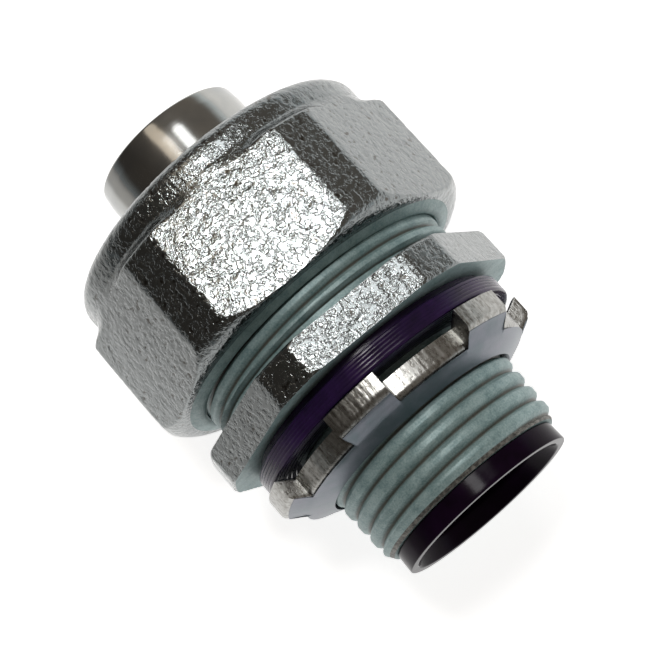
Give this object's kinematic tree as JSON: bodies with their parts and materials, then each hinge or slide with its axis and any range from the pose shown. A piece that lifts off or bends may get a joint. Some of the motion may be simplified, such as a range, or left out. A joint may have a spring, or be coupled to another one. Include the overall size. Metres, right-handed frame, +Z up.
{
  "type": "conduit compression fitting",
  "caption": "Straight liquid-tight compression fitting that joins flexible metal conduit to an enclosure knockout, with a gland nut, ferrule, insulated throat, sealing ring and locknut.",
  "frame": {"origin": "on the conduit axis, at the flange face that the sealing ring bears on", "axes": "+X along the axis towards the threaded nose, +Z up, square to one flat of the compression nut"},
  "size_m": [0.0488, 0.0376, 0.0348],
  "materials": {
    "cast_body": "zinc-plated malleable casting, as-cast flange, cut threads",
    "cast_nut": "zinc-plated malleable casting, coarse as-cast skin",
    "zinc_steel": "zinc-plated stamped steel",
    "bright_steel": "bright zinc-plated drawn steel, smooth",
    "purple_liner": "dark purple moulded plastic, glossy",
    "purple_seal": "dark purple sealing ring, glossy, fine turned lines",
    "gland_nylon": "natural nylon"
  },
  "bodies": {
    "body": {"body": "cast_body", "throat_liner": "purple_liner"},
    "gland": {"gland_ring": "gland_nylon"},
    "nut": {"compression_nut": "cast_nut"},
    "ferrule": {"ferrule": "bright_steel"},
    "seal": {"face_seal": "purple_seal"},
    "locknut": {"locknut": "zinc_steel"}
  },
  "joints": [
    {"name": "gland_travel", "type": "slide", "parent": "body", "child": "gland", "axis": [1, 0, 0], "range_m": [-0.01032, 0.00119]},
    {"name": "nut_turn", "type": "hinge", "parent": "gland", "child": "nut", "pos_m": [0, 0, 0], "axis": [1, 0, 0], "range_deg": [-2340, 270]},
    {"name": "ferrule_travel", "type": "slide", "parent": "body", "child": "ferrule", "axis": [1, 0, 0], "range_m": [-0.01032, 0.00119]},
    {"name": "locknut_turn", "type": "hinge", "parent": "body", "child": "seal", "pos_m": [0, 0, 0], "axis": [1, 0, 0], "range_deg": [-30, 1980]},
    {"name": "locknut_travel", "type": "slide", "parent": "seal", "child": "locknut", "axis": [1, 0, 0], "range_m": [-0.00015, 0.00998]}
  ],
  "couplings": [
    {"joint": "gland_travel", "follows": "nut_turn", "m_per_rad": 0.00025266},
    {"joint": "ferrule_travel", "follows": "nut_turn", "m_per_rad": 0.00025266},
    {"joint": "locknut_travel", "follows": "locknut_turn", "m_per_rad": 0.00028875}
  ]
}
